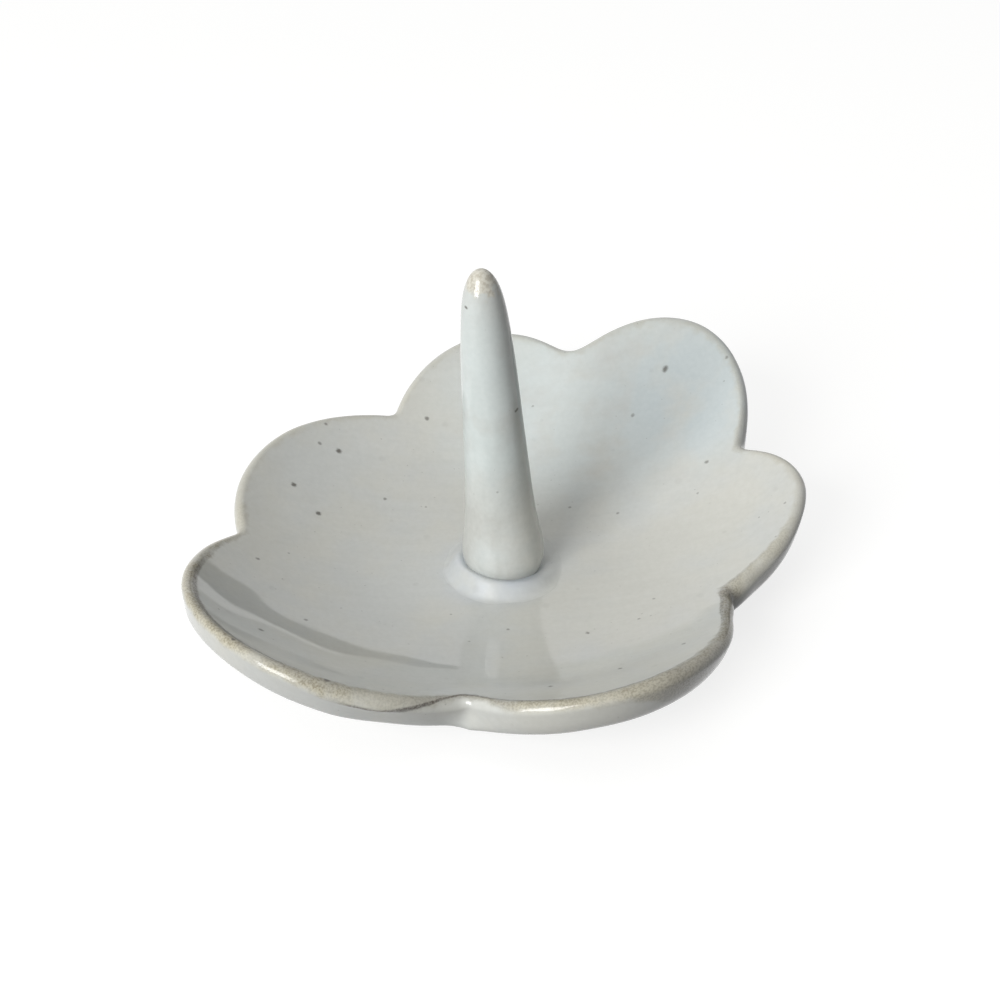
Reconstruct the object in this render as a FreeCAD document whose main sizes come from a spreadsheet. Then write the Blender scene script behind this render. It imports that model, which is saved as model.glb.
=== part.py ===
import FreeCAD, Part
import math
import os

import Sketcher
from FreeCAD import Placement, Rotation, Vector

# Hand-built stoneware ring dish: a slumped slab cut to a flower, a tapered post that rings drop
# over, and the coil of clay that joins the two.
#
# Millimetres, +Z up. The origin is the middle of the flat base, on the table, under the bowl's axis.
# The front of the dish faces -Y, and the petals are named by where they lie from there.

TOLERANCE = 1e-4

# Driving dimensions, by what they belong to. Lengths in mm, angles in degrees.
DISH_SIZES = {
    "floor_thickness": 5.5,
    "base_flat_radius": 27.5,
    "floor_flat_radius": 15.4,
    "wall_curve_radius": 56.7,
    "rim_top_radius": 1.2,
    "rim_under_radius": 3.0,
}
# Each petal is a round arc: its direction from the middle, how far out its centre lies, its radius,
# and the radius of the notch that follows it, going anticlockwise from above.
PETALS = {
    "front_left": {"angle": 216.5, "reach": 27.5, "radius": 30.2, "notch": 2.0},
    "front_right": {"angle": 296.5, "reach": 26.2, "radius": 25.7, "notch": 2.0},
    "right": {"angle": 6.0, "reach": 33.4, "radius": 20.1, "notch": 2.0},
    "back_right": {"angle": 51.0, "reach": 38.9, "radius": 22.7, "notch": 7.0},
    "back": {"angle": 88.5, "reach": 34.7, "radius": 21.6, "notch": 2.0},
    "left": {"angle": 148.5, "reach": 21.5, "radius": 29.0, "notch": 2.0},
}
POST_SIZES = {
    "post_height": 57.6,
    "post_seat_depth": 0.6,
    "post_foot_radius": 7.3,
    "post_foot_height": 3.6,
    "post_neck_radius": 5.75,
    "post_neck_height": 14.5,
    "post_shoulder_radius": 4.3,
    "post_shoulder_height": 42.0,
    "post_tip_radius": 2.2,
    "post_lean": 2.0,
    "post_offset": 0.5,
}
COLLAR_SIZES = {
    "collar_radius": 10.4,
    "collar_height": 3.3,
    "collar_bead_radius": 3.6,
}


def make_sheet(doc):
    """The spreadsheet that every size is bound to, one named cell in each row.

    The blank of clay is cut one rim radius past the longest petal. The coil goes as deep as the post's
    seat all the way round, although it leans with the post.
    """
    sheet = doc.addObject("Spreadsheet::Sheet", "sizes")
    petal_sizes = {
        f"{name}_{size}": value for name, petal in PETALS.items() for size, value in petal.items()
    }
    tips = ", ".join(f"{name}_reach + {name}_radius" for name in PETALS)
    worked_out = {
        "blank_radius": f"=max({tips}) + rim_under_radius",
        "coil_reach": "=post_seat_depth + collar_radius * sin(post_lean * 1 deg)",
    }
    rows = {**DISH_SIZES, **petal_sizes, **POST_SIZES, **COLLAR_SIZES, **worked_out}
    for row, (name, value) in enumerate(rows.items(), start=1):
        sheet.set(f"A{row}", name)
        sheet.set(f"B{row}", str(value))
        sheet.setAlias(f"B{row}", name)
    doc.recompute()
    return sheet


def origin_plane(body, role):
    """One of the body's own origin planes, such as XY_Plane."""
    return next(feature for feature in body.Origin.OriginFeatures if feature.Role == role)


def new_sketch(body, name, role):
    sketch = body.newObject("Sketcher::SketchObject", name)
    sketch.AttachmentSupport = [(origin_plane(body, role), "")]
    sketch.MapMode = "FlatFace"
    return sketch


def bind(sketch, constraint, expression):
    """Adds a dimension to a sketch and ties it to the sheet."""
    index = sketch.addConstraint(constraint)
    sketch.setExpression(f"Constraints[{index}]", expression)


def arc(centre, start, end):
    """The arc about centre that runs anticlockwise from start to end."""
    first = math.atan2(start.y - centre.y, start.x - centre.x)
    last = math.atan2(end.y - centre.y, end.x - centre.x)
    if last <= first:
        last += 2 * math.pi
    circle = Part.Circle(centre, Vector(0, 0, 1), (start - centre).Length)
    return Part.ArcOfCircle(circle, first, last)


def revolve(body, sketch, name):
    turned = body.newObject("PartDesign::Revolution", name)
    turned.Profile = sketch
    turned.ReferenceAxis = (sketch, ["V_Axis"])
    turned.Angle = 360
    return turned


# The dish


def rise_at(sheet, radius):
    """How far the slab has risen from its flat middle at a radius."""
    curve = sheet.wall_curve_radius
    return curve - math.sqrt(curve**2 - (radius - sheet.floor_flat_radius) ** 2)


def wall_drop(sheet):
    """How far the outer skin lies straight below the inner one."""
    return sheet.floor_thickness + rise_at(sheet, sheet.base_flat_radius)


def slab_section(body, sheet):
    """Half section of the slumped slab: a flat floor, then an arc up to the edge of the blank.

    The outer skin is the same arc moved straight down, and the flat base cuts it off.
    """
    flat, curve = sheet.floor_flat_radius, sheet.wall_curve_radius
    floor, base, blank = sheet.floor_thickness, sheet.base_flat_radius, sheet.blank_radius
    down = Vector(0, -wall_drop(sheet), 0)
    inner_centre = Vector(flat, floor + curve, 0)
    axis_top, axis_foot = Vector(0, floor, 0), Vector(0, 0, 0)
    floor_end, base_end = Vector(flat, floor, 0), Vector(base, 0, 0)
    inner_edge = Vector(blank, floor + rise_at(sheet, blank), 0)
    outer_edge = inner_edge + down

    sketch = new_sketch(body, "slab_section", "XZ_Plane")
    floor_line = sketch.addGeometry(Part.LineSegment(axis_top, floor_end))
    inner_arc = sketch.addGeometry(arc(inner_centre, floor_end, inner_edge))
    edge_line = sketch.addGeometry(Part.LineSegment(inner_edge, outer_edge))
    outer_arc = sketch.addGeometry(arc(inner_centre + down, base_end, outer_edge))
    base_line = sketch.addGeometry(Part.LineSegment(base_end, axis_foot))
    axis_line = sketch.addGeometry(Part.LineSegment(axis_foot, axis_top))

    rule = Sketcher.Constraint
    sketch.addConstraint(
        [
            rule("Coincident", axis_line, 1, -1, 1),
            rule("Coincident", base_line, 2, axis_line, 1),
            rule("Coincident", axis_line, 2, floor_line, 1),
            rule("Tangent", floor_line, 2, inner_arc, 1),
            rule("Coincident", inner_arc, 2, edge_line, 1),
            rule("Coincident", edge_line, 2, outer_arc, 2),
            rule("Coincident", outer_arc, 1, base_line, 1),
            rule("Vertical", inner_arc, 3, outer_arc, 3),
            rule("Vertical", axis_line),
            rule("Vertical", edge_line),
            rule("Horizontal", floor_line),
            rule("Horizontal", base_line),
            rule("Equal", inner_arc, outer_arc),
        ]
    )
    bind(sketch, rule("DistanceY", -1, 1, floor_line, 1, floor), "sizes.floor_thickness")
    bind(sketch, rule("DistanceX", -1, 1, inner_arc, 3, flat), "sizes.floor_flat_radius")
    bind(sketch, rule("Radius", inner_arc, curve), "sizes.wall_curve_radius")
    bind(sketch, rule("DistanceX", -1, 1, base_line, 1, base), "sizes.base_flat_radius")
    bind(sketch, rule("DistanceX", -1, 1, edge_line, 1, blank), "sizes.blank_radius")
    return sketch


def notch_arc(first, first_radius, second, second_radius, notch):
    """Centre and ends of the small arc that rounds the inward corner between two petal circles."""
    one, two = first_radius + notch, second_radius + notch
    apart = second - first
    along = (one**2 - two**2 + apart.Length**2) / (2 * apart.Length)
    aside = math.sqrt(one**2 - along**2)
    way = Vector(apart).normalize()
    outward = Vector(way.y, -way.x, 0)
    centre = first + way * along + outward * aside
    start = centre + (first - centre).normalize() * notch
    end = centre + (second - centre).normalize() * notch
    return centre, start, end


def petal_outline(body, sheet):
    """The flower outline inside a circle past the blank, so that a pocket leaves the flower standing."""
    names = list(PETALS)
    size = {name: {key: getattr(sheet, f"{name}_{key}") for key in PETALS[name]} for name in names}
    centres = {}
    for name in names:
        turn = math.radians(size[name]["angle"])
        centres[name] = Vector(math.cos(turn), math.sin(turn), 0) * size[name]["reach"]
    notches = {}
    for name, following in zip(names, names[1:] + names[:1]):
        notches[name] = notch_arc(
            centres[name],
            size[name]["radius"],
            centres[following],
            size[following]["radius"],
            size[name]["notch"],
        )

    sketch = new_sketch(body, "petal_outline", "XY_Plane")
    petal_arcs, notch_arcs = {}, {}
    for before, name in zip(names[-1:] + names[:-1], names):
        petal_arcs[name] = sketch.addGeometry(arc(centres[name], notches[before][2], notches[name][1]))
    for name in names:
        centre, start, end = notches[name]
        notch_arcs[name] = sketch.addGeometry(arc(centre, end, start))

    rule = Sketcher.Constraint
    for name, following in zip(names, names[1:] + names[:1]):
        sketch.addConstraint(rule("Tangent", petal_arcs[name], 2, notch_arcs[name], 2))
        sketch.addConstraint(rule("Tangent", notch_arcs[name], 1, petal_arcs[following], 1))
    for name in names:
        petal, centre = petal_arcs[name], centres[name]
        polar = f"sizes.{name}_reach * {{}}(sizes.{name}_angle * 1 deg)"
        bind(sketch, rule("DistanceX", -1, 1, petal, 3, centre.x), polar.format("cos"))
        bind(sketch, rule("DistanceY", -1, 1, petal, 3, centre.y), polar.format("sin"))
        bind(sketch, rule("Radius", petal, size[name]["radius"]), f"sizes.{name}_radius")
        bind(sketch, rule("Radius", notch_arcs[name], size[name]["notch"]), f"sizes.{name}_notch")

    limit = sheet.blank_radius + sheet.rim_under_radius
    ring = sketch.addGeometry(Part.Circle(Vector(0, 0, 0), Vector(0, 0, 1), limit))
    sketch.addConstraint(rule("Coincident", ring, 3, -1, 1))
    bind(sketch, rule("Radius", ring, limit), "sizes.blank_radius + sizes.rim_under_radius")
    return sketch


def rim_edges(shape, sheet, drop):
    """Names of the cut edges on one of the slab's skins, drop below the inner one."""
    cut_faces = [face for face in shape.Faces if face.Surface.isDerivedFrom("Part::GeomCylinder")]
    arc_height = sheet.floor_thickness + sheet.wall_curve_radius - drop
    names = []
    for number, edge in enumerate(shape.Edges, start=1):
        middle = edge.valueAt((edge.FirstParameter + edge.LastParameter) / 2)
        across = math.hypot(middle.x, middle.y) - sheet.floor_flat_radius
        from_arc = math.hypot(across, arc_height - middle.z) - sheet.wall_curve_radius
        on_cut = any(face.isInside(middle, TOLERANCE, True) for face in cut_faces)
        if on_cut and abs(from_arc) < TOLERANCE:
            names.append(f"Edge{number}")
    return names


def round_rim(body, base, sheet, name, drop, cell):
    rounded = body.newObject("PartDesign::Fillet", name)
    rounded.Base = (base, rim_edges(base.Shape, sheet, drop))
    rounded.setExpression("Radius", f"sizes.{cell}")
    body.Document.recompute()
    return rounded


def make_slab(doc, sheet):
    """The slumped slab, cut to the flower outline with its cut edge sponged round."""
    body = doc.addObject("PartDesign::Body", "slab")
    revolve(body, slab_section(body, sheet), "slumped_slab")
    doc.recompute()
    blank_volume = body.Shape.Volume

    cut = body.newObject("PartDesign::Pocket", "flower_cut")
    cut.Profile = petal_outline(body, sheet)
    cut.Type = "ThroughAll"
    cut.Reversed = True
    doc.recompute()
    if body.Shape.Volume > blank_volume - TOLERANCE:
        raise RuntimeError("the flower cut removed nothing")

    top = round_rim(body, cut, sheet, "rim_top", 0, "rim_top_radius")
    round_rim(body, top, sheet, "rim_underside", wall_drop(sheet), "rim_under_radius")
    return body


# The post


def post_section(body, sheet):
    """Half section of the post above the floor: a flared foot, a straight taper and a rounded tip."""
    foot = Vector(sheet.post_foot_radius, sheet.post_foot_height, 0)
    neck = Vector(sheet.post_neck_radius, sheet.post_neck_height, 0)
    shoulder = Vector(sheet.post_shoulder_radius, sheet.post_shoulder_height, 0)
    tip = Vector(0, sheet.post_height, 0)
    tip_radius, seat = sheet.post_tip_radius, sheet.post_seat_depth

    taper = (shoulder - neck).normalize()
    outward = Vector(taper.y, -taper.x, 0)
    rise = neck - foot
    flare_centre = neck - outward * (rise.Length**2 / (2 * outward.dot(rise)))
    dome = tip - Vector(0, tip_radius, 0)
    lean_in = shoulder - dome
    ogive = (lean_in.Length**2 - tip_radius**2) / (2 * (lean_in.dot(outward) - tip_radius))
    ogive_centre = shoulder - outward * ogive
    dome_start = dome + (dome - ogive_centre).normalize() * tip_radius
    corner, bottom = Vector(foot.x, -seat, 0), Vector(0, -seat, 0)

    sketch = new_sketch(body, "post_section", "XZ_Plane")
    bottom_line = sketch.addGeometry(Part.LineSegment(bottom, corner))
    foot_line = sketch.addGeometry(Part.LineSegment(corner, foot))
    flare_arc = sketch.addGeometry(arc(flare_centre, neck, foot))
    taper_line = sketch.addGeometry(Part.LineSegment(neck, shoulder))
    ogive_arc = sketch.addGeometry(arc(ogive_centre, shoulder, dome_start))
    dome_arc = sketch.addGeometry(arc(dome, dome_start, tip))
    axis_line = sketch.addGeometry(Part.LineSegment(tip, bottom))

    rule = Sketcher.Constraint
    sketch.addConstraint(
        [
            rule("Coincident", bottom_line, 2, foot_line, 1),
            rule("Coincident", foot_line, 2, flare_arc, 2),
            rule("Tangent", flare_arc, 1, taper_line, 1),
            rule("Tangent", taper_line, 2, ogive_arc, 1),
            rule("Tangent", ogive_arc, 2, dome_arc, 1),
            rule("Coincident", dome_arc, 2, axis_line, 1),
            rule("Coincident", axis_line, 2, bottom_line, 1),
            rule("PointOnObject", axis_line, 1, -2),
            rule("PointOnObject", axis_line, 2, -2),
            rule("PointOnObject", dome_arc, 3, -2),
            rule("Horizontal", bottom_line),
            rule("Vertical", foot_line),
        ]
    )
    for (line, end), point, name in [
        ((foot_line, 2), foot, "post_foot"),
        ((taper_line, 1), neck, "post_neck"),
        ((taper_line, 2), shoulder, "post_shoulder"),
    ]:
        bind(sketch, rule("DistanceX", -1, 1, line, end, point.x), f"sizes.{name}_radius")
        bind(sketch, rule("DistanceY", -1, 1, line, end, point.y), f"sizes.{name}_height")
    bind(sketch, rule("Radius", dome_arc, tip_radius), "sizes.post_tip_radius")
    bind(sketch, rule("DistanceY", -1, 1, axis_line, 1, tip.y), "sizes.post_height")
    bind(sketch, rule("DistanceY", axis_line, 2, -1, 1, seat), "sizes.post_seat_depth")
    return sketch


def stand_on_floor(body, sheet):
    """Stands a piece on the floor where the post was set, a little to +X and leaning back over the middle."""
    lean = Rotation(Vector(0, -1, 0), sheet.post_lean)
    body.Placement = Placement(Vector(sheet.post_offset, 0, sheet.floor_thickness), lean)
    body.setExpression("Placement.Base.x", "sizes.post_offset")
    body.setExpression("Placement.Base.z", "sizes.floor_thickness")
    body.setExpression("Placement.Rotation.Angle", "sizes.post_lean")
    body.Document.recompute()


def make_post(doc, sheet):
    """The hand-rolled post, its foot pressed a little into the floor."""
    body = doc.addObject("PartDesign::Body", "ring_post")
    revolve(body, post_section(body, sheet), "rolled_post")
    stand_on_floor(body, sheet)
    return body


# The collar


def coil_section(body, sheet):
    """Half section of the coil: a rounded bead from the floor up to the post's foot.

    It reaches into the post and below the floor, which both press it back.
    """
    reach = sheet.coil_reach
    inside, outside = sheet.post_foot_radius - reach, sheet.collar_radius
    toe, crest = Vector(outside, 0, 0), Vector(sheet.post_foot_radius, sheet.collar_height, 0)
    chord = crest - toe
    sag = math.sqrt(sheet.collar_bead_radius**2 - (chord.Length / 2) ** 2)
    centre = (toe + crest) / 2 + Vector(-chord.y, chord.x, 0).normalize() * sag
    top, bottom = Vector(inside, crest.y, 0), Vector(inside, -reach, 0)
    skirt = Vector(outside, -reach, 0)

    sketch = new_sketch(body, "coil_section", "XZ_Plane")
    bottom_line = sketch.addGeometry(Part.LineSegment(bottom, skirt))
    skirt_line = sketch.addGeometry(Part.LineSegment(skirt, toe))
    bead_arc = sketch.addGeometry(arc(centre, toe, crest))
    top_line = sketch.addGeometry(Part.LineSegment(crest, top))
    inner_line = sketch.addGeometry(Part.LineSegment(top, bottom))

    rule = Sketcher.Constraint
    sketch.addConstraint(
        [
            rule("Coincident", bottom_line, 2, skirt_line, 1),
            rule("Coincident", skirt_line, 2, bead_arc, 1),
            rule("Coincident", bead_arc, 2, top_line, 1),
            rule("Coincident", top_line, 2, inner_line, 1),
            rule("Coincident", inner_line, 2, bottom_line, 1),
            rule("PointOnObject", skirt_line, 2, -1),
            rule("Horizontal", bottom_line),
            rule("Vertical", skirt_line),
            rule("Horizontal", top_line),
            rule("Vertical", inner_line),
        ]
    )
    inside_size = "sizes.post_foot_radius - sizes.coil_reach"
    bind(sketch, rule("DistanceX", -1, 1, inner_line, 1, inside), inside_size)
    bind(sketch, rule("DistanceX", -1, 1, skirt_line, 2, outside), "sizes.collar_radius")
    bind(sketch, rule("DistanceX", -1, 1, bead_arc, 2, crest.x), "sizes.post_foot_radius")
    bind(sketch, rule("DistanceY", -1, 1, bead_arc, 2, crest.y), "sizes.collar_height")
    bind(sketch, rule("DistanceY", bottom_line, 1, -1, 1, reach), "sizes.coil_reach")
    bind(sketch, rule("Radius", bead_arc, sheet.collar_bead_radius), "sizes.collar_bead_radius")
    return sketch


def make_coil(doc, sheet):
    """The coil of soft clay, before it is pressed into the corner round the post."""
    body = doc.addObject("PartDesign::Body", "coil")
    revolve(body, coil_section(body, sheet), "rolled_coil")
    stand_on_floor(body, sheet)
    return body


def press_against(doc, label, soft, hard):
    """The soft piece takes the form of the hard one where they meet, face to face."""
    pressed = doc.addObject("Part::Cut", label)
    pressed.Base = soft
    pressed.Tool = hard
    doc.recompute()
    return pressed


def check(doc, pieces):
    for item in doc.Objects:
        if {"Invalid", "Error"} & set(item.State):
            raise RuntimeError(f"{item.Label} did not build: {item.State}")
    for piece in pieces:
        shape = piece.Shape
        if shape.isNull() or not shape.isValid() or len(shape.Solids) != 1:
            raise RuntimeError(f"{piece.Label} is not one valid solid")


def main():
    doc = FreeCAD.newDocument("ring_dish")
    sheet = make_sheet(doc)
    slab = make_slab(doc, sheet)
    post = make_post(doc, sheet)
    coil = make_coil(doc, sheet)
    dish = press_against(doc, "dish", slab, post)
    fitted_coil = press_against(doc, "fitted_coil", coil, post)
    collar = press_against(doc, "joint_collar", fitted_coil, dish)

    pieces = [dish, post, collar]
    check(doc, pieces)
    os.makedirs("parts", exist_ok=True)
    for piece in pieces:
        piece.Shape.exportStep(f"parts/{piece.Label}.step")
        box = piece.Shape.optimalBoundingBox(False)
        print(f"{piece.Label}: {box.XLength:.1f} x {box.YLength:.1f} x {box.ZLength:.1f} mm")


main()
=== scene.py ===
import math

import bpy
from mathutils import Matrix, Vector


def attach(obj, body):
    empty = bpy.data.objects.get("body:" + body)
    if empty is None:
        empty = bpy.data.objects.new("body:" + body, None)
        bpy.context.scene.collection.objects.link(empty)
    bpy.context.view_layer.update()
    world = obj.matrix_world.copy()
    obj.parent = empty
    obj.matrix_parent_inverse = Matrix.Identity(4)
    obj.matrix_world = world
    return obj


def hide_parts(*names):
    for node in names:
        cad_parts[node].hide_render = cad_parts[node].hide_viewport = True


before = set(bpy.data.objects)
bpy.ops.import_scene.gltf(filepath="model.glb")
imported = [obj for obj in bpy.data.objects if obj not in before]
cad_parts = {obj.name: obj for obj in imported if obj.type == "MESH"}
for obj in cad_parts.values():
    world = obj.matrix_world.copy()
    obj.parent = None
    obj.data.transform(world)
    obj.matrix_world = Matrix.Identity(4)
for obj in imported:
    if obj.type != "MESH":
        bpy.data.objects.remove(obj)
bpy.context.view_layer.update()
mm = 0.001
print("frame loaded:", ", ".join(sorted(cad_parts)))


def linearColour(hexColour):  # sRGB hex to the linear RGBA that the nodes take
    channels = [int(hexColour[i:i + 2], 16) / 255 for i in (1, 3, 5)]
    return [c / 12.92 if c <= 0.04045 else ((c + 0.055) / 1.055) ** 2.4 for c in channels] + [1]


# Links and values go by input socket. It gives one output socket, or the whole node where out is None.
def addNode(tree, kind, links=None, values=None, out=0, **settings):
    node = tree.nodes.new(kind)
    for name, value in settings.items():
        setattr(node, name, value)
    for socket, value in (values or {}).items():
        node.inputs[socket].default_value = value
    for socket, source in (links or {}).items():
        tree.links.new(source, node.inputs[socket])
    return node if out is None else node.outputs[out]


def clearTree(owner):  # the emptied node tree of a material or the world
    owner.use_nodes = True
    owner.node_tree.nodes.clear()
    return owner.node_tree


def applyModifier(piece, kind, **settings):
    modifier = piece.modifiers.new(kind.title(), kind)
    for name, value in settings.items():
        setattr(modifier, name, value)
    bpy.ops.object.modifier_apply(modifier=modifier.name)


def handWave(piece, size, depth, group=""):  # slow swells that a hand leaves in clay, sizes in mm
    swell = bpy.data.textures.new(f"{piece.name}Swell{size}", "CLOUDS")
    swell.noise_scale = size * mm
    swell.noise_depth = 1
    applyModifier(piece, "DISPLACE", texture=swell, strength=depth * mm, mid_level=0.5,
                  texture_coords="LOCAL", vertex_group=group)


def closeUp(piece):  # outward normals and smooth shading on a finished, closed mesh
    bpy.ops.object.mode_set(mode="EDIT")
    bpy.ops.mesh.select_all(action="SELECT")
    bpy.ops.mesh.remove_doubles(threshold=0.001 * mm)
    bpy.ops.mesh.normals_make_consistent(inside=False)
    bpy.ops.object.mode_set(mode="OBJECT")
    bpy.ops.object.shade_smooth()
    print(f"{piece.name}: {len(piece.data.polygons)} faces")


# The dish: one slumped slab, cut to six petals and sponged round at the edge. All sizes in mm.
# Petals run anticlockwise from above: direction in degrees, reach of the centre, radius. "notch" is how
# softly the notch after the petal is rounded at the rim, "footNotch" the same at the foot of the wall.
# "widest" and "underWidest" limit how far the roundings open out in a notch. The holds are how straight the
# wall leaves the rim and meets its foot, the crowds how the rings close up towards the rim.
dishShape = {
    "petals": [
        {"turn": 216.5, "reach": 27.5, "radius": 30.2, "notch": 0.7, "footNotch": 4.0},
        {"turn": 296.5, "reach": 26.2, "radius": 25.7, "notch": 0.8, "footNotch": 3.0},
        {"turn": 6.0, "reach": 33.4, "radius": 20.1, "notch": 0.8, "footNotch": 2.4},
        {"turn": 51.0, "reach": 38.9, "radius": 22.7, "notch": 1.4, "footNotch": 2.2},
        {"turn": 88.5, "reach": 34.7, "radius": 21.6, "notch": 0.6, "footNotch": 1.6},
        {"turn": 148.5, "reach": 21.5, "radius": 29.0, "notch": 0.5, "footNotch": 1.6},
    ],
    "floorTop": 5.5, "floorFlat": 15.4, "wallCurve": 56.7, "baseFlat": 27.5,
    "rimTop": 1.2, "rimUnder": 3.0, "widest": 1.5, "underWidest": 1.2,
    "wallHold": 0.7, "underHold": 0.4, "footHold": 0.5,
    "stepsRound": 480, "skinCrowd": 0.8, "wallCrowd": 1.2,
    "skinRings": 56, "rimRings": 11, "wallRings": 16, "outsideRings": 14, "baseRings": 4,
    "foldDepth": 0.7, "foldWidth": 0.12, "foldFade": 8,
    "swells": [(34, 0.7), (11, 0.16)],
    "trueFloor": {"to": 9, "over": 12, "least": 0.25},  # under the post the swells are held back
}

# What the hand and the fire left along the rim, and some painted shade: (direction in degrees, amount)
# stops, anticlockwise. "cut" is how far the knife strayed outwards and "broad" the extra rounding, in mm.
# "lean" is the degrees that the wall slants in under the rim, "tuck" how far its foot is drawn in, and
# "fold" the overhang under the front left petal. "wear" is how thin the glaze broke on the edge, from
# "bandStart" to "bandEnd", in mm past the inner edge. "line" is how dark the iron line beside it is and
# "lineAt" where it runs. The stain stops give the brown in the notches and on the front right edge, and
# painted shade as well: the groove of the notch at
# 335 degrees and the shaded wall under the front right edge are darkened with them.
rimMarks = {
    "cut": [(314, 0.0), (325, -0.4), (335.4, 1.3), (344, -0.6), (353, -0.4), (4, 0.0)],
    "broad": [(20, 0.0), (232, 0.0), (246, 0.6), (254, 0.5), (264, 0.0)],
    "lean": [(30, 3), (60, 0), (212, 0), (247, 24), (257, 24), (264, 4), (285, 5), (315, 12), (328, 12),
             (336, 4), (345, 12), (355, 10)],
    "tuck": [(30, 0.3), (60, 0.0), (205, 0.0), (247, 1.5), (257, 1.5), (264, 0.6), (285, 0.9), (315, 2.2),
             (327, 2.0), (336, 0.8), (345, 1.8), (355, 1.8)],
    "fold": [(238, 0.0), (247, 1.0), (256, 1.0), (263, 0.0)],
    "wear": [(20, 0.4), (75, 0.35), (117, 0.35), (160, 0.4), (177, 0.6), (190, 0.95), (238, 1.0),
             (247, 0.65), (258, 0.7), (266, 0.95), (290, 0.9), (305, 0.75), (327, 0.85), (337, 0.8),
             (345, 0.65), (0, 0.5)],
    "bandStart": [(20, 0.0), (176, 0.0), (196, -0.5), (226, -0.4), (240, 0.0), (262, 0.0), (276, -0.5),
                  (305, -0.4), (322, 0.0)],
    # From 301 to 331 degrees the band runs 7 mm down the outside wall. This is partly the brown grit there
    # and partly painted shade on that shaded wall.
    "bandEnd": [(20, 1.3), (120, 1.3), (178, 1.8), (200, 2.2), (232, 2.3), (246, 2.4), (264, 0.5),
                (272, 1.7), (282, 1.8), (290, 2.6), (301, 7.0), (331, 7.0), (335, 3.5), (340, 2.0)],
    "line": [(20, 0.0), (176, 0.0), (188, 0.15), (202, 0.85), (228, 0.9), (234, 0.1), (239, 0.0),
             (246, 0.9), (262, 1.0), (266, 0.6), (292, 0.6), (312, 0.45), (332, 0.7), (338, 0.3),
             (350, 0.0)],
    "lineAt": [(20, 0.0), (176, 0.0), (196, -0.5), (228, -0.4), (240, 2.6), (246, 2.6), (264, 0.0),
               (276, -0.5), (305, -0.4), (322, 0.0)],
    # Brown stains in the notches. From 293 to 330 degrees and at the 335 degree notch they are partly
    # painted shade, on the shaded front right wall and in the notch groove.
    "stainAndShade": [(20, 0.0), (23.6, 0.3), (27, 0.0), (248, 0.0), (256, 0.5), (262, 0.8), (266, 0.4), (276, 0.0),
              (284, 0.0), (293, 0.15), (302, 0.55), (322, 0.5), (330, 0.45), (335.3, 0.9), (339, 0.0)],
}


def alongRim(mark, turn):  # a mark's amount at a direction in degrees, eased from stop to stop
    stops = sorted(rimMarks[mark])
    ring = [(stops[-1][0] - 360, stops[-1][1])] + stops + [(stops[0][0] + 360, stops[0][1])]
    for (start, low), (end, high) in zip(ring, ring[1:]):
        if start <= turn % 360 <= end:
            share = (turn % 360 - start) / (end - start)
            return low + (high - low) * share * share * (3 - 2 * share)
    return 0


def farSide(petal, turn):  # where a ray from the middle leaves a petal's circle
    away = turn - math.radians(petal["turn"])
    inside = petal["radius"] ** 2 - (petal["reach"] * math.sin(away)) ** 2
    return petal["reach"] * math.cos(away) + math.sqrt(inside) if inside > 0 else 0


def flowerReach(turn, notchName):  # the longer petal at a turn, eased into its neighbour at the notch
    petals = dishShape["petals"]
    reaches = [farSide(petal, turn) for petal in petals]
    first, second = sorted(range(len(petals)), key=lambda i: -reaches[i])[:2]
    owner = first if (first + 1) % len(petals) == second else second
    soft = petals[owner][notchName]
    gap = reaches[first] - reaches[second]
    return reaches[first] + soft * math.log1p(math.exp(-gap / soft))


def arcPoints(centre, radius, start, end, count):  # count points after start, up to end
    turns = [start + (end - start) * i / count for i in range(1, count + 1)]
    return [(centre[0] + radius * math.cos(a), centre[1] + radius * math.sin(a)) for a in turns]


def wallBow(start, lean, end, aim, hold):  # the wall bows out and rounds under in one sweep
    bow = [Vector(start),
           Vector((start[0] - math.sin(lean) * hold[0], start[1] - math.cos(lean) * hold[0])),
           Vector((end[0] - math.sin(aim) * hold[1], end[1] + math.cos(aim) * hold[1])),
           Vector(end)]
    spots = []
    for i in range(1, dishShape["wallRings"] + 1):
        t = (i / dishShape["wallRings"]) ** dishShape["wallCrowd"]
        spots.append(bow[0] * (1 - t) ** 3 + bow[1] * 3 * t * (1 - t) ** 2
                     + bow[2] * 3 * t * t * (1 - t) + bow[3] * t ** 3)
    return spots


def foldBack(points, mark):  # below the fold the wall stands back, to nothing at the base
    folded = []
    for r, z, way in points:
        below = 1 / (1 + math.exp((mark["lineAt"] - way) / dishShape["foldWidth"]))
        below *= min(1, max(0, (r - dishShape["baseFlat"]) / dishShape["foldFade"]))
        folded.append((r - dishShape["foldDepth"] * mark["fold"] * below, z, way))
    return folded


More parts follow.
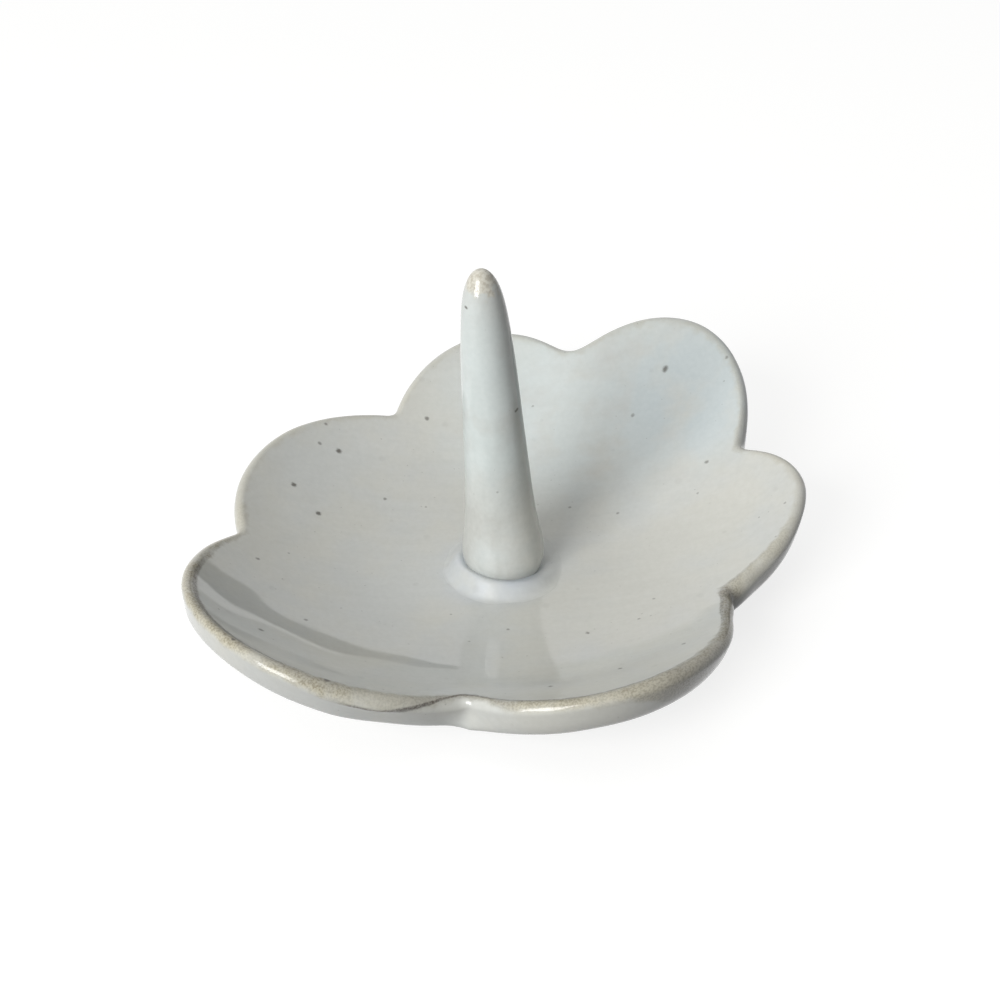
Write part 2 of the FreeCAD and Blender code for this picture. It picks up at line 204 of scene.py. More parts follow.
def dishSection(turn):  # (radius, height, way past the rim's inner edge), from the middle over to the base
    shape = dishShape
    flat, curve, base = shape["floorFlat"], shape["wallCurve"], shape["baseFlat"]
    inner = (flat, shape["floorTop"] + curve)  # centre of the wall's arc, inside
    rise = curve - math.sqrt(curve ** 2 - (base - flat) ** 2)
    outer = (flat, curve - rise)  # the same arc outside, dropped until it meets the base
    mark = {name: alongRim(name, math.degrees(turn))
            for name in ("cut", "broad", "lean", "tuck", "fold", "lineAt")}
    rim = flowerReach(turn, "notch") + mark["cut"]
    foot = flowerReach(turn, "footNotch") - mark["tuck"]
    nudge = 0.002  # radians to either side, for how steeply the outline runs here
    slant = (flowerReach(turn + nudge, "notch") - flowerReach(turn - nudge, "notch")) / (2 * nudge * rim)
    widen = math.hypot(1, slant)
    top = shape["rimTop"] * min(widen, shape["widest"]) + mark["broad"]
    under = shape["rimUnder"] * min(widen, shape["underWidest"])

    # centres of the two roundings, and where they touch the inside and the outside of the slab
    topAt = (rim - top, inner[1] - math.sqrt((curve + top) ** 2 - (rim - top - flat) ** 2))
    topAim = math.atan2(topAt[1] - inner[1], topAt[0] - flat)
    underAt = (foot - under, outer[1] - math.sqrt((curve - under) ** 2 - (foot - under - flat) ** 2))
    underAim = math.atan2(underAt[1] - outer[1], underAt[0] - flat)
    skinEnd = flat + curve * math.cos(topAim)
    skinStart = flat + curve * math.cos(underAim)

    points = []
    for i in range(1, shape["skinRings"] + 1):
        r = skinEnd * (i / shape["skinRings"]) ** shape["skinCrowd"]
        z = shape["floorTop"] if r < flat else inner[1] - math.sqrt(curve ** 2 - (r - flat) ** 2)
        points.append((r, z, min(0, r - skinEnd)))
    rounding = arcPoints(topAt, top, topAim + math.pi, 0, shape["rimRings"])
    sweep = shape["rimTop"] * (topAim + math.pi)
    points += [(r, z, sweep * i / shape["rimRings"]) for i, (r, z) in enumerate(rounding, 1)]
    hold = (shape["wallHold"] * (topAt[1] - underAt[1]) + shape["underHold"] * under,
            shape["footHold"] * under)
    wallEnd = arcPoints(underAt, under, 0, underAim, 1)[0]
    for spot in wallBow((rim, topAt[1]), math.radians(mark["lean"]), wallEnd, underAim, hold):
        points.append((spot.x, spot.y, points[-1][2] + math.dist(spot, points[-1][:2])))
    past = points[-1][2]
    for i in range(1, shape["outsideRings"] + 1):
        r = skinStart + (base - skinStart) * i / shape["outsideRings"]
        z = max(0, outer[1] - math.sqrt(curve ** 2 - (r - flat) ** 2))
        points.append((r, z, past + skinStart - r))
    past = points[-1][2]
    for i in range(1, shape["baseRings"] + 1):
        points.append((base * (1 - i / (shape["baseRings"] + 1)), 0, past + base))
    return foldBack(points, mark)


def closeRing(piece, first, count):  # fills one ring of vertices and pokes it to its middle
    bpy.ops.mesh.select_all(action="DESELECT")
    bpy.ops.object.mode_set(mode="OBJECT")
    for vertex in piece.data.vertices:
        vertex.select = first <= vertex.index < first + count
    bpy.ops.object.mode_set(mode="EDIT")
    bpy.ops.mesh.edge_face_add()
    bpy.ops.mesh.poke()


def makeDish():
    steps = dishShape["stepsRound"]
    sections = [dishSection(2 * math.pi * i / steps) for i in range(steps)]
    rings = len(sections[0])
    bpy.ops.object.select_all(action="DESELECT")
    bpy.ops.mesh.primitive_circle_add(vertices=steps, radius=mm, fill_type="NOTHING")
    piece = bpy.context.object
    piece.name = piece.data.name = "flowerDish"
    bpy.ops.object.mode_set(mode="EDIT")
    bpy.ops.mesh.select_all(action="SELECT")
    for ring in range(1, rings):  # a tube of rings one millimetre apart, to be pushed into the bowl
        bpy.ops.mesh.extrude_edges_move(TRANSFORM_OT_translate={"value": (0, 0, mm)})
    bpy.ops.object.mode_set(mode="OBJECT")

    free = piece.vertex_groups.new(name="free")  # how far the swells may move a vertex
    held = dishShape["trueFloor"]
    outside = rings - dishShape["outsideRings"] - dishShape["baseRings"]
    ways = {"rimWay": [], "lineWay": [], "bandWay": []}
    marks = []
    for vertex in piece.data.vertices:
        ring = round(vertex.co.z / mm)
        turn = math.atan2(vertex.co.y, vertex.co.x)
        r, z, way = sections[round(turn / (2 * math.pi) * steps) % steps][ring]
        for name, mark in zip(ways, ("bandStart", "lineAt", "bandEnd")):
            ways[name].append(way - alongRim(mark, math.degrees(turn)))
        marks += [alongRim(mark, math.degrees(turn)) for mark in ("wear", "line", "stainAndShade")]
        vertex.co = Vector((r * math.cos(turn), r * math.sin(turn), z)) * mm
        hold = min(1, max(held["least"], (r - held["to"]) / held["over"]))
        fade = 1 if ring < outside else max(0, 1 - (ring - outside) / dishShape["outsideRings"])
        free.add([vertex.index], hold * fade, "REPLACE")
    for name, values in ways.items():
        piece.data.attributes.new(name, "FLOAT", "POINT").data.foreach_set("value", values)
    piece.data.attributes.new("rimMarks", "FLOAT_VECTOR", "POINT").data.foreach_set("vector", marks)

    bpy.ops.object.mode_set(mode="EDIT")
    bpy.ops.mesh.select_mode(type="VERT")
    for first in (0, steps * (rings - 1)):
        closeRing(piece, first, steps)
    bpy.ops.object.mode_set(mode="OBJECT")
    for size, depth in dishShape["swells"]:
        handWave(piece, size, depth, "free")
    closeUp(piece)
    return piece


# The post: rolled by hand, flared at the foot, its toe rounded under. (height above the floor, radius), mm.
postShape = {
    "rings": [(-0.5, 6.2), (0.8, 6.6), (2.2, 7.1), (3.8, 7.35), (6.2, 7.1), (9.5, 6.5), (14.5, 5.95),
              (24, 5.45), (34, 4.95), (43, 4.45), (50, 3.9), (54.6, 3.15), (57.2, 1.9), (58.1, 0.75)],
    "stepsRound": 24, "smooth": 3,
    "lean": 2.0, "offset": 0.5,  # degrees to the left, and mm to the right at the floor
    "swells": [(13, 0.1), (5, 0.05)],
}


def makePost():
    floorTop = dishShape["floorTop"]
    rings = postShape["rings"]
    bpy.ops.object.select_all(action="DESELECT")
    bpy.ops.mesh.primitive_circle_add(vertices=postShape["stepsRound"], radius=rings[0][1] * mm,
                                      fill_type="NGON", location=(0, 0, (floorTop + rings[0][0]) * mm))
    piece = bpy.context.object
    piece.name = piece.data.name = "ringPost"
    bpy.ops.object.transform_apply(location=True, rotation=True, scale=True)
    bpy.ops.object.mode_set(mode="EDIT")
    bpy.ops.mesh.select_all(action="SELECT")
    for (lastHeight, lastRadius), (height, radius) in zip(rings, rings[1:]):
        ratio = radius / lastRadius
        step = (0, 0, (height - lastHeight) * mm)
        bpy.ops.mesh.extrude_region_move(TRANSFORM_OT_translate={"value": step})
        bpy.ops.transform.resize(value=(ratio, ratio, 1), center_override=(0, 0, 0))
    bpy.ops.mesh.poke()
    bpy.ops.mesh.select_all(action="SELECT")
    bpy.ops.transform.rotate(value=math.radians(postShape["lean"]), orient_axis="Y",
                             center_override=(0, 0, floorTop * mm))
    bpy.ops.transform.translate(value=(postShape["offset"] * mm, 0, 0))
    bpy.ops.object.mode_set(mode="OBJECT")
    applyModifier(piece, "SUBSURF", levels=postShape["smooth"], render_levels=postShape["smooth"])
    for size, depth in postShape["swells"]:
        handWave(piece, size, depth)
    closeUp(piece)
    return piece


# The collar: a coil of soft clay pressed into the corner, fuller on the side of "fullTurn", where the thumb
# left more. It is highest at "peak" from the post, dips a little against the post, and is smoothed out to
# nothing over the floor of the dish. In mm.
collarShape = {
    "ringRadius": 8.5, "coil": 2.3, "stepsRound": 72, "stepsAcross": 48, "smooth": 1,
    "inner": 5.9, "post": 6.9, "outer": 11.1, "outerMore": 0.1,
    "crest": 1.35, "crestMore": 1.55, "crestLeast": 0.3, "fullTurn": 225,
    "peak": 1.1, "dip": 0.16, "ease": 1.35, "toeSink": 0.03, "sunk": 0.8,
    "swells": [(6, 0.2)],
}


def makeCollar():
    shape = collarShape
    bpy.ops.object.select_all(action="DESELECT")
    bpy.ops.mesh.primitive_torus_add(major_radius=shape["ringRadius"] * mm, minor_radius=shape["coil"] * mm,
                                     major_segments=shape["stepsRound"],
                                     minor_segments=shape["stepsAcross"])
    piece = bpy.context.object
    piece.name = piece.data.name = "jointCollar"
    for vertex in piece.data.vertices:
        turn = math.atan2(vertex.co.y, vertex.co.x)
        out = math.hypot(vertex.co.x, vertex.co.y) - shape["ringRadius"] * mm
        about = math.atan2(vertex.co.z, out)  # 0 at the toe, half a turn at the heel, positive above
        share = 1 - abs(about) / math.pi
        full = math.cos(turn - math.radians(shape["fullTurn"]))
        crest = max(shape["crestLeast"], shape["crest"] + shape["crestMore"] * full)
        outer = shape["outer"] + shape["outerMore"] * full
        reach = shape["inner"] + (outer - shape["inner"]) * share
        off = reach - shape["post"]  # from the side of the post
        if about < 0:
            height = shape["sunk"] * math.sin(about)
        elif off < shape["peak"]:
            height = crest * (1 - shape["dip"] * (1 - max(0, off) / shape["peak"]) ** 2)
        else:
            fall = (off - shape["peak"]) / (outer - shape["post"] - shape["peak"])
            height = crest * ((1 + math.cos(fall * math.pi)) / 2) ** shape["ease"]
        vertex.co = Vector((reach * math.cos(turn) + postShape["offset"], reach * math.sin(turn),
                            dishShape["floorTop"] + height - shape["toeSink"])) * mm
    applyModifier(piece, "SUBSURF", levels=shape["smooth"], render_levels=shape["smooth"])
    for size, depth in shape["swells"]:
        handWave(piece, size, depth)
    closeUp(piece)
    return piece


# Glazed stoneware: buff clay with iron in it under a milky tin-white glaze, dipped and fired glossy.
# The eye gets a cool white that drifts in tone, dark iron specks, and tan where the glaze runs thin.
# Sizes in mm. "spots" are the larger specks, seen along the axis that "spotPlane" takes out.
dishGlaze = {
    "cool": "#CACCC8", "warm": "#CECEC6", "speck": "#57534B",
    "grain": {"drift": 17, "pool": 12, "fine": 0.9, "peel": 3.2, "edge": 2.2, "grit": 0.34, "patch": 5},
    "streak": (24, 1.5, 1.5), "mottle": {"fine": 0.15, "streak": 0.1},
    "poolsAndPaintedShade": [{"at": (16, 40, 14), "reach": 36, "amount": 0.9, "colour": "#D4DBD9"},
              {"at": (37, 34, 20), "reach": 22, "amount": 0.8, "colour": "#C3CDCF"},
              {"at": (-1.5, -2, 8.5), "reach": 13.5, "amount": 1.0, "colour": "#C6CDD5"}],
    "specks": [{"spacing": 2.6, "radius": 0.36, "share": 0.13, "depth": 0.4},
               {"spacing": 1.3, "radius": 0.2, "share": 0.2, "depth": 0.3},
               {"spacing": 4.2, "radius": 1.1, "share": 0.35, "depth": 0.07}],
    "ragged": 0.35, "spotPlane": (1, 1, 0),
    "spots": [(-30, 29.1, 0.75, 0.9), (-37.6, 18.2, 0.7, 0.9), (-33, 12.8, 0.7, 0.9),
              (-33.5, 29.6, 0.5, 0.6), (-32.5, 34, 0.45, 0.6), (-13.5, 39.5, 0.6, 0.7),
              (-21.3, 19.6, 0.5, 0.6), (32.9, 41.5, 0.75, 0.8), (26.2, 35.5, 0.5, 0.5),
              (38.4, 19.5, 0.55, 0.6), (21.6, 13.6, 0.45, 0.5), (13, 16.7, 0.4, 0.5), (44, 37.3, 0.4, 0.5),
              (-38.8, -27.5, 0.6, 0.7), (-42, -4.4, 0.5, 0.6), (-32.8, -19, 0.5, 0.6),
              (0.6, -17.8, 0.4, 0.5), (13.8, -20.5, 0.5, 0.6), (28.3, -31.4, 0.5, 0.6),
              (17.9, -35.2, 0.5, 0.6), (22.5, -18.5, 0.4, 0.5), (6.8, -38.4, 0.55, 0.6),
              (-26.9, -43.9, 0.7, 0.9), (-41.2, -37.8, 0.45, 0.8), (-42.6, -35.2, 0.45, 0.8)],
    "roughness": (0.04, 0.09), "peelDepth": 0.003,
    "rim": {"tan": "#7C735C", "cream": "#C3BEAA", "brown": "#43372A",
            "rise": (-0.7, 0.6), "fall": (-0.7, 1.0), "blend": (0.3, 2.2), "blendShare": 0.45,
            "waver": 0.5, "endWaver": 0.7, "lineWaver": 0.15, "lineWidth": (0.16, 0.5),
            "patchLeast": 0.5, "darkLeast": 0.55, "roughness": 0.1, "gritDepth": 0.04},
    "clay": {"colour": "#B59F7E", "under": (0.12, 0.35), "roughness": 0.85},
}
postGlaze = {
    "cool": "#CBD0CE", "warm": "#CDCFCA", "speck": "#57534B",
    "grain": {"drift": 11, "pool": 9, "fine": 0.9, "peel": 3.2, "edge": 1.6, "grit": 0.7},
    "streak": (2.2, 2.2, 16), "mottle": {"fine": 0.2, "streak": 0.15},
    "poolsAndPaintedShade": [{"at": (-4, -5, 40), "reach": 30, "amount": 0.9, "colour": "#D6DEDC"},
              # The second and third pools are painted shade and painted light. The low front left of the
              # post, which the window lights, is painted darker, and its low shaded right side is painted
              # lighter.
              {"at": (-3, -6, 13), "reach": 20, "amount": 0.9, "colour": "#BEBFBA"},
              {"at": (9, -2, 15), "reach": 13, "amount": 0.9, "colour": "#D9DAD4"}],
    "specks": [{"spacing": 2.8, "radius": 0.3, "share": 0.1, "depth": 0.35},
               {"spacing": 1.3, "radius": 0.17, "share": 0.18, "depth": 0.3}],
    "ragged": 0.3, "spotPlane": (1, 0, 1),
    "spots": [(-4.0, 58.1, 0.36, 0.8), (3.4, 39.3, 0.4, 0.8)],
    "roughness": (0.04, 0.09), "peelDepth": 0.003,
    "tip": {"tan": "#BCB5A3", "cream": "#DAD6C8", "from": 59.8, "full": 61.6, "waver": 0.9, "amount": 0.85,
            "roughness": 0.07, "gritDepth": 0.01},
}
collarGlaze = {part: value for part, value in dishGlaze.items() if part not in ("rim", "clay")}  # one dip
collarGlaze["roughness"] = (0.4, 0.48)  # thick glaze that set a little dull

# Shared by the three glazes. A span is what counts of a noise's range, from none to full. The cores are how
# much of a pool or of painted shade, spot or speck is full before it fades.
glazeShared = {
    "ior": 1.52, "detail": 3, "coarseness": 0.55, "streakDetail": 2, "chip": 0.5, "chipDetail": 1,
    "toneSpan": (0.36, 0.64), "tintSpan": (0.3, 0.55), "roughSpan": (0.3, 0.7), "waverSpan": (0.3, 0.7),
    "gritSpan": (0.4, 0.58), "patchSpan": (0.32, 0.56), "darkSpan": (0.3, 0.6),
    "core": 0.3, "speckCore": 0.4, "speckLeast": 0.4,
}
fromTo = ("From Min", "From Max", "To Min", "To Max")  # what a Map Range node is given, in order
eased = {"interpolation_type": "SMOOTHSTEP"}
colourMix = {"out": 2, "data_type": "RGBA"}  # socket 0 is the share, 6 the first colour and 7 the second


def glazeGrain(tree, look, place):  # a noise for each size of grain, and one drawn out to tool streaks
    grain = {}
    for part, size in look["grain"].items():
        grain[part] = addNode(tree, "ShaderNodeTexNoise", {"Vector": place},
                              {"Scale": 1 / (size * mm), "Detail": glazeShared["detail"],
                               "Roughness": glazeShared["coarseness"]}, out="Fac")
    drawn = addNode(tree, "ShaderNodeMapping", {"Vector": place},
                    {"Scale": [1 / (size * mm) for size in look["streak"]]})
    grain["streak"] = addNode(tree, "ShaderNodeTexNoise", {"Vector": drawn},
                              {"Scale": 1, "Detail": glazeShared["streakDetail"]}, out="Fac")
    return grain


def glazeColour(tree, look, place, grain):  # slow drift, bluish where it pooled thick, painted shade and light on the post's foot, mottle and streaks
    tone = addNode(tree, "ShaderNodeMapRange", {"Value": grain["drift"]},
                   dict(zip(fromTo, glazeShared["toneSpan"])), **eased)
    colour = addNode(tree, "ShaderNodeMix", {0: tone},
                     {6: linearColour(look["cool"]), 7: linearColour(look["warm"])}, **colourMix)
    patch = addNode(tree, "ShaderNodeMapRange", {"Value": grain["pool"]},
                    dict(zip(fromTo, glazeShared["tintSpan"])))
    for pool in look["poolsAndPaintedShade"]:
        reach = pool["reach"] * mm
        away = addNode(tree, "ShaderNodeVectorMath", {0: place}, {1: Vector(pool["at"]) * mm}, out="Value",
                       operation="DISTANCE")
        near = addNode(tree, "ShaderNodeMapRange", {"Value": away},
                       dict(zip(fromTo, (glazeShared["core"] * reach, reach, pool["amount"], 0))), **eased)
        tinted = addNode(tree, "ShaderNodeMath", {0: near, 1: patch}, operation="MULTIPLY")
        colour = addNode(tree, "ShaderNodeMix", {0: tinted, 6: colour},
                         {7: linearColour(pool["colour"])}, **colourMix)
    for part, amount in look["mottle"].items():
        colour = addNode(tree, "ShaderNodeMix", {6: colour, 7: grain[part]}, {0: amount},
                         **colourMix, blend_type="SOFT_LIGHT")
    return colour


def ironSpecks(tree, look, place):  # small ones scattered by cell, larger ones by place, all a bit ragged
    chips = addNode(tree, "ShaderNodeTexNoise", {"Vector": place},
                    {"Scale": 1 / (glazeShared["chip"] * mm), "Detail": glazeShared["chipDetail"]},
                    out="Color")
    ragged = addNode(tree, "ShaderNodeVectorMath", {0: chips, 2: place},
                     {1: Vector((1, 1, 1)) * look["ragged"] * mm}, operation="MULTIPLY_ADD")
    flat = addNode(tree, "ShaderNodeVectorMath", {0: ragged}, {1: look["spotPlane"]}, operation="MULTIPLY")
    dots = []
    for kind in look["specks"]:
        size = kind["radius"] / kind["spacing"]
        cells = addNode(tree, "ShaderNodeTexVoronoi", {"Vector": ragged},
                        {"Scale": 1 / (kind["spacing"] * mm)}, out=None).outputs
        pick = addNode(tree, "ShaderNodeSeparateColor", {0: cells["Color"]}, out=None).outputs
        wide = addNode(tree, "ShaderNodeMapRange", {"Value": pick[0]},
                       {"To Min": glazeShared["speckLeast"] * size, "To Max": size})
        core = addNode(tree, "ShaderNodeMath", {0: wide}, {1: glazeShared["speckCore"]},
                       operation="MULTIPLY")
        there = addNode(tree, "ShaderNodeMath", {0: pick[1]}, {1: kind["share"]}, operation="LESS_THAN")
        shown = addNode(tree, "ShaderNodeMath", {0: there}, {1: kind["depth"]}, operation="MULTIPLY")
        dots.append(addNode(tree, "ShaderNodeMapRange",
                            dict(zip(("Value",) + fromTo, (cells["Distance"], core, wide, shown))),
                            {"To Max": 0}, **eased))
    for first, second, radius, depth in look["spots"]:
        spot = iter((first, second))
        middle = [(next(spot) + look["ragged"] / 2) * mm if axis else 0 for axis in look["spotPlane"]]
        away = addNode(tree, "ShaderNodeVectorMath", {0: flat}, {1: middle}, out="Value",
                       operation="DISTANCE")
        dots.append(addNode(tree, "ShaderNodeMapRange", {"Value": away},
                            dict(zip(fromTo, (glazeShared["core"] * radius * mm, radius * mm, depth, 0))),
                            **eased))
    specks = dots[0]
    for dot in dots[1:]:
        specks = addNode(tree, "ShaderNodeMath", {0: specks, 1: dot}, operation="MAXIMUM")
    return specks


def wornRim(tree, rim, grain, waver, gritty):  # the worn band, how cream it is, and the dark of the iron line and of the stains, which are partly painted shade
    marks = addNode(tree, "ShaderNodeAttribute", out="Vector", attribute_name="rimMarks")
    marks = addNode(tree, "ShaderNodeSeparateXYZ", {0: marks}, out=None).outputs
    wear, lineDepth, stainAndShade = marks["X"], marks["Y"], marks["Z"]
    rimWay, lineWay, bandWay = [addNode(tree, "ShaderNodeAttribute", out="Fac", attribute_name=name)
                                for name in ("rimWay", "lineWay", "bandWay")]
    way = addNode(tree, "ShaderNodeMath", {0: rimWay, 1: waver}, operation="ADD")
    past = addNode(tree, "ShaderNodeMath", {0: waver, 2: bandWay}, {1: rim["endWaver"]},
                   operation="MULTIPLY_ADD")
    rise = addNode(tree, "ShaderNodeMapRange", {"Value": way}, dict(zip(fromTo, rim["rise"])), **eased)
    fall = addNode(tree, "ShaderNodeMapRange", {"Value": past, "To Min": wear},
                   {**dict(zip(fromTo, rim["fall"])), "To Max": 0}, **eased)
    worn = addNode(tree, "ShaderNodeMapRange", {"Value": grain["patch"]},
                   {**dict(zip(fromTo, glazeShared["patchSpan"])), "To Min": rim["patchLeast"]})
    reached = addNode(tree, "ShaderNodeMath", {0: rise, 1: fall}, operation="MULTIPLY")
    band = addNode(tree, "ShaderNodeMath", {0: reached, 1: worn}, operation="MULTIPLY")

    across = addNode(tree, "ShaderNodeMapRange", {"Value": way}, dict(zip(fromTo, rim["blend"])))
    cream = addNode(tree, "ShaderNodeMix", {2: gritty, 3: across}, {0: rim["blendShare"]})
    cream = addNode(tree, "ShaderNodeMapRange", {"Value": wear, "To Max": cream},
                    {"To Min": 1})  # barely worn glaze only turns cream

    line = addNode(tree, "ShaderNodeMath", {0: waver, 2: lineWay}, {1: rim["lineWaver"]},
                   operation="MULTIPLY_ADD")
    line = addNode(tree, "ShaderNodeMath", {0: line}, operation="ABSOLUTE")
    line = addNode(tree, "ShaderNodeMapRange", {"Value": line, "To Min": lineDepth},
                   {**dict(zip(fromTo, rim["lineWidth"])), "To Max": 0}, **eased)
    # brown stains and painted shade, laid only where the band reaches
    stainAndShade = addNode(tree, "ShaderNodeMath", {0: stainAndShade, 1: reached}, operation="MULTIPLY")
    dark = addNode(tree, "ShaderNodeMath", {0: line, 1: stainAndShade}, operation="MAXIMUM")
    patchy = addNode(tree, "ShaderNodeMapRange", {"Value": grain["grit"]},
                     dict(zip(fromTo, (*glazeShared["darkSpan"], 1, rim["darkLeast"]))))
    dark = addNode(tree, "ShaderNodeMath", {0: dark, 1: patchy}, operation="MULTIPLY")
    return band, cream, dark


def wornTip(tree, tip, up, waver):  # the worn cap of the post, from a wavering height upwards
    high = addNode(tree, "ShaderNodeMath", {0: waver, 2: up}, {1: mm}, operation="MULTIPLY_ADD")
    return addNode(tree, "ShaderNodeMapRange", {"Value": high},
                   dict(zip(fromTo, (tip["from"] * mm, tip["full"] * mm, 0, tip["amount"]))), **eased)


def glazeMaterial(name, look):
    material = bpy.data.materials.new(name)
    tree = clearTree(material)
    place = addNode(tree, "ShaderNodeTexCoord", out="Object")
    up = addNode(tree, "ShaderNodeSeparateXYZ", {0: place}, out="Z")
    grain = glazeGrain(tree, look, place)
    colour = glazeColour(tree, look, place, grain)
    rough = addNode(tree, "ShaderNodeMapRange", {"Value": grain["drift"]},
                    dict(zip(fromTo, glazeShared["roughSpan"] + look["roughness"])))
    bumps = addNode(tree, "ShaderNodeMath", {0: grain["peel"]}, {1: look["peelDepth"]},
                    operation="MULTIPLY")

    dark = None
    edge = look.get("rim") or look.get("tip")
    if edge:  # the glaze breaks thin and tan on an edge, and the gritty clay shows through
        waver = addNode(tree, "ShaderNodeMapRange", {"Value": grain["edge"]},
                        dict(zip(fromTo, (*glazeShared["waverSpan"], -edge["waver"], edge["waver"]))))
        cream = addNode(tree, "ShaderNodeMapRange", {"Value": grain["grit"]},
                        dict(zip(fromTo, glazeShared["gritSpan"])))
        if "rim" in look:
            band, cream, dark = wornRim(tree, edge, grain, waver, cream)
        else:
            band = wornTip(tree, edge, up, waver)
        broken = addNode(tree, "ShaderNodeMix", {0: cream},
                         {6: linearColour(edge["tan"]), 7: linearColour(edge["cream"])}, **colourMix)
        colour = addNode(tree, "ShaderNodeMix", {0: band, 6: colour, 7: broken}, **colourMix)
        rough = addNode(tree, "ShaderNodeMix", {0: band, 2: rough}, {3: edge["roughness"]})
        grit = addNode(tree, "ShaderNodeMath", {0: grain["grit"], 1: band}, operation="MULTIPLY")
        bumps = addNode(tree, "ShaderNodeMath", {0: grit, 2: bumps}, {1: edge["gritDepth"]},
                        operation="MULTIPLY_ADD")

    colour = addNode(tree, "ShaderNodeMix", {0: ironSpecks(tree, look, place), 6: colour},
                     {7: linearColour(look["speck"])}, **colourMix)
    if dark:  # the dark iron line beside the band, and the brown stains, which are partly painted shade at the front right
        colour = addNode(tree, "ShaderNodeMix", {0: dark, 6: colour},
                         {7: linearColour(edge["brown"])}, **colourMix)
    if "clay" in look:  # the foot is wiped clean of glaze, down to the bare clay
        clay = look["clay"]
        low, high = clay["under"]
        bare = addNode(tree, "ShaderNodeMapRange", {"Value": up},
                       dict(zip(fromTo, (low * mm, high * mm, 1, 0))), **eased)
        colour = addNode(tree, "ShaderNodeMix", {0: bare, 6: colour},
                         {7: linearColour(clay["colour"])}, **colourMix)
        rough = addNode(tree, "ShaderNodeMix", {0: bare, 2: rough}, {3: clay["roughness"]})

    bump = addNode(tree, "ShaderNodeBump", {"Height": bumps}, {"Strength": 1, "Distance": mm})
    shader = addNode(tree, "ShaderNodeBsdfPrincipled",
                     {"Base Color": colour, "Roughness": rough, "Normal": bump},
                     {"IOR": glazeShared["ior"]}, out="BSDF")
    addNode(tree, "ShaderNodeOutputMaterial", {"Surface": shader}, out=None)
    print(f"{name}: {len(tree.nodes)} nodes")
    return material


# The stage: a pale floor, soft light from above, behind and the left, and a broad window at the front left.
# The floor is shown pale but throws little light back up. "ambient" is, for each axis, the side that the
# light comes from, how narrow it is, and its strength. Sizes in metres.
stageLook = {
    "floorSize": 6.0, "floorColour": "#9A9A98", "floorLift": 0.79, "floorBounce": "#262624",
    "ambient": {"Z": (1, 4, 0.95), "Y": (1, 2, 1.0), "X": (-1, 2, 0.72)}, "backdrop": "#FFFFFF",
    "cardAway": 0.75, "cardSide": 0.33, "cardWidth": 0.66, "cardFrom": 0.06, "cardTo": 0.178,
    "cardColour": "#8C8C8C",
}


def seenRays(tree):  # 1 for what the camera, the gloss and glass see, 0 for the light on the object
    path = addNode(tree, "ShaderNodeLightPath", out=None).outputs
    seen = path["Is Camera Ray"]
    for kind in ("Is Glossy Ray", "Is Transmission Ray"):
        seen = addNode(tree, "ShaderNodeMath", {0: seen, 1: path[kind]}, operation="MAXIMUM")
    return seen


def makeFloor():
    bpy.ops.object.select_all(action="DESELECT")
    bpy.ops.mesh.primitive_plane_add(size=stageLook["floorSize"])
    floor = bpy.context.object
    floor.name = floor.data.name = "paleFloor"
    material = bpy.data.materials.new("matt pale studio floor")
    tree = clearTree(material)
    bounce = addNode(tree, "ShaderNodeBsdfDiffuse", None, {"Color": linearColour(stageLook["floorBounce"])})
    pale = addNode(tree, "ShaderNodeBsdfDiffuse", None, {"Color": linearColour(stageLook["floorColour"])})
    lift = addNode(tree, "ShaderNodeEmission", None, {"Strength": stageLook["floorLift"]})
    shown = addNode(tree, "ShaderNodeAddShader", {0: pale, 1: lift})
    mixed = addNode(tree, "ShaderNodeMixShader", {0: seenRays(tree), 1: bounce, 2: shown})
    addNode(tree, "ShaderNodeOutputMaterial", {"Surface": mixed}, out=None)
    floor.data.materials.append(material)
    print("stage: floor", stageLook["floorSize"], "m")


def makeGreyCard():  # a low grey card behind the dish, for the glaze to mirror; the camera doesn't see it
    height = stageLook["cardTo"] - stageLook["cardFrom"]
    middle = (stageLook["cardSide"], stageLook["cardAway"], stageLook["cardFrom"] + height / 2)
    bpy.ops.object.select_all(action="DESELECT")
    bpy.ops.mesh.primitive_plane_add(size=1, location=middle, rotation=(math.radians(90), 0, 0))
    card = bpy.context.object
    card.name = card.data.name = "greyCard"
    card.scale = (stageLook["cardWidth"], height, 1)
    material = bpy.data.materials.new("matt grey card")
    tree = clearTree(material)
    grey = addNode(tree, "ShaderNodeBsdfDiffuse", None, {"Color": linearColour(stageLook["cardColour"])})
    addNode(tree, "ShaderNodeOutputMaterial", {"Surface": grey}, out=None)
    card.data.materials.append(material)
    card.visible_camera = card.visible_diffuse = card.visible_shadow = False
    print("stage: grey card", stageLook["cardWidth"], "m wide")


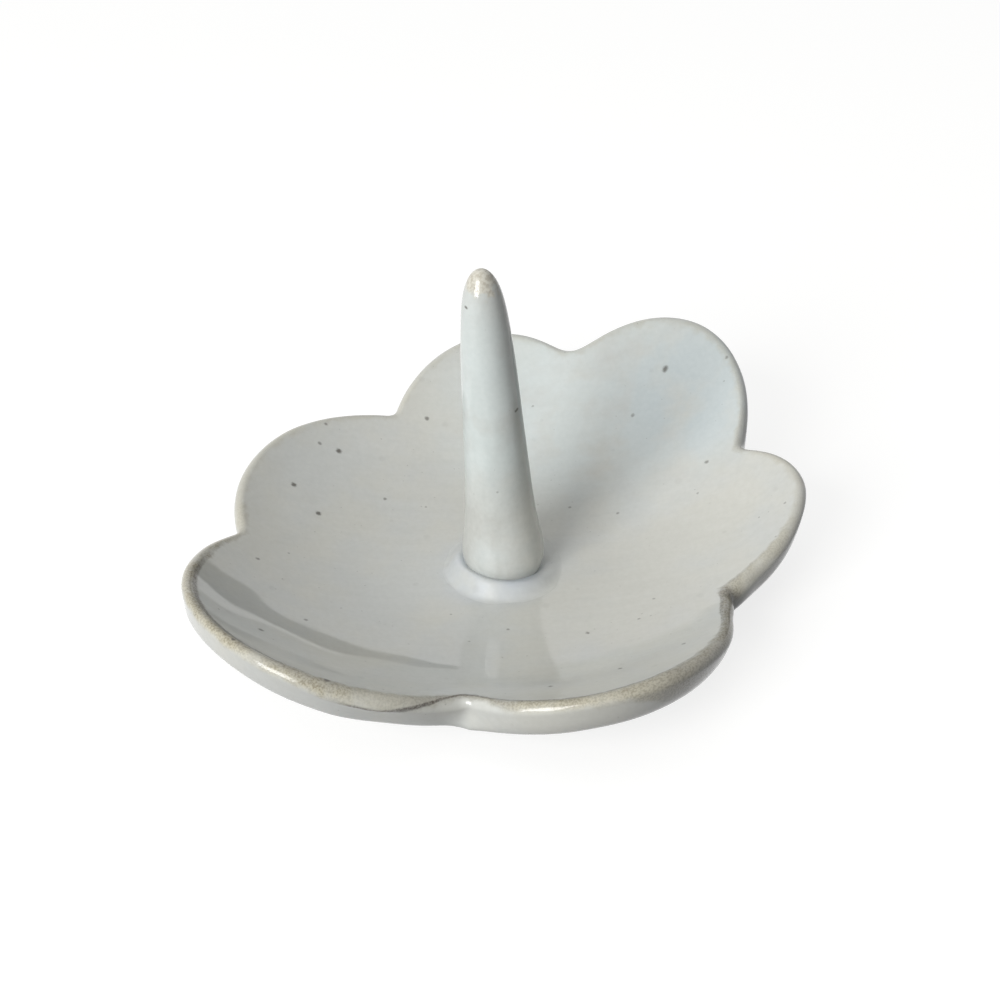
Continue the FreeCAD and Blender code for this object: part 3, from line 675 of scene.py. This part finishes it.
def makeWorld():
    world = bpy.data.worlds.new("studio")
    bpy.context.scene.world = world
    tree = clearTree(world)
    toward = addNode(tree, "ShaderNodeTexCoord", out="Generated")
    toward = addNode(tree, "ShaderNodeSeparateXYZ", {0: toward}, out=None).outputs
    links = {}
    for axis, (side, focus, strength) in stageLook["ambient"].items():
        facing = addNode(tree, "ShaderNodeMapRange", {"Value": toward[axis]}, {"From Max": side})
        links[0] = addNode(tree, "ShaderNodeMath", {0: facing}, {1: focus}, operation="POWER")
        links[2] = addNode(tree, "ShaderNodeMath", links, {1: strength, 2: 0}, operation="MULTIPLY_ADD")
    ambient = addNode(tree, "ShaderNodeBackground", {"Strength": links[2]})
    shown = addNode(tree, "ShaderNodeBackground", None,
                    {"Color": linearColour(stageLook["backdrop"]), "Strength": 1})
    mixed = addNode(tree, "ShaderNodeMixShader", {0: seenRays(tree), 1: ambient, 2: shown})
    addNode(tree, "ShaderNodeOutputWorld", {"Surface": mixed}, out=None)
    print("world: soft light from", ", ".join(stageLook["ambient"]))


# The window: where it stands in degrees and metres from the dish, its size in metres, its power in watts.
windowLight = {"turn": 232.5, "lift": 27, "away": 0.9, "size": (0.45, 0.6), "power": 7.6}


def makeWindowLight():
    light = bpy.data.lights.new("windowLight", "AREA")
    light.shape = "RECTANGLE"
    light.size, light.size_y = windowLight["size"]
    light.energy = windowLight["power"]
    holder = bpy.data.objects.new("windowLight", light)
    bpy.context.scene.collection.objects.link(holder)
    turn, lift = math.radians(windowLight["turn"]), math.radians(windowLight["lift"])
    way = Vector((math.cos(lift) * math.cos(turn), math.cos(lift) * math.sin(turn), math.sin(lift)))
    holder.location = way * windowLight["away"]
    holder.rotation_euler = (-way).to_track_quat("-Z", "Y").to_euler()
    holder.visible_camera = False
    print("window:", light.energy, "W")


# The camera, in metres and degrees: in front, looking down on the dish and turned a little about its axis.
cameraPlace = {"location": (0.0001, -0.2282, 0.1785), "down": 34.85, "roll": -2.26, "lens": 58.26}


def makeCamera():
    camera = bpy.data.cameras.new("camera")
    camera.lens = cameraPlace["lens"]
    holder = bpy.data.objects.new("camera", camera)
    bpy.context.scene.collection.objects.link(holder)
    tilt = Matrix.Rotation(math.radians(90 - cameraPlace["down"]), 4, "X")
    roll = Matrix.Rotation(math.radians(cameraPlace["roll"]), 4, "Z")
    holder.matrix_world = Matrix.Translation(cameraPlace["location"]) @ tilt @ roll
    bpy.context.scene.camera = holder
    print("camera: lens", camera.lens)


pieces = {
    "dish": (makeDish(), glazeMaterial("glazed stoneware, dish", dishGlaze), "dish_glaze"),
    "ring_post": (makePost(), glazeMaterial("glazed stoneware, post", postGlaze), "post_glaze"),
    "joint_collar": (makeCollar(), glazeMaterial("glazed stoneware, collar", collarGlaze), "collar_glaze"),
}
for node, (piece, material, slot) in pieces.items():
    piece.data.materials.append(material)
    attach(piece, "root")
    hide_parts(node)

makeFloor()
makeGreyCard()
makeWorld()
makeWindowLight()
makeCamera()
bpy.context.scene.view_settings.view_transform = "Standard"
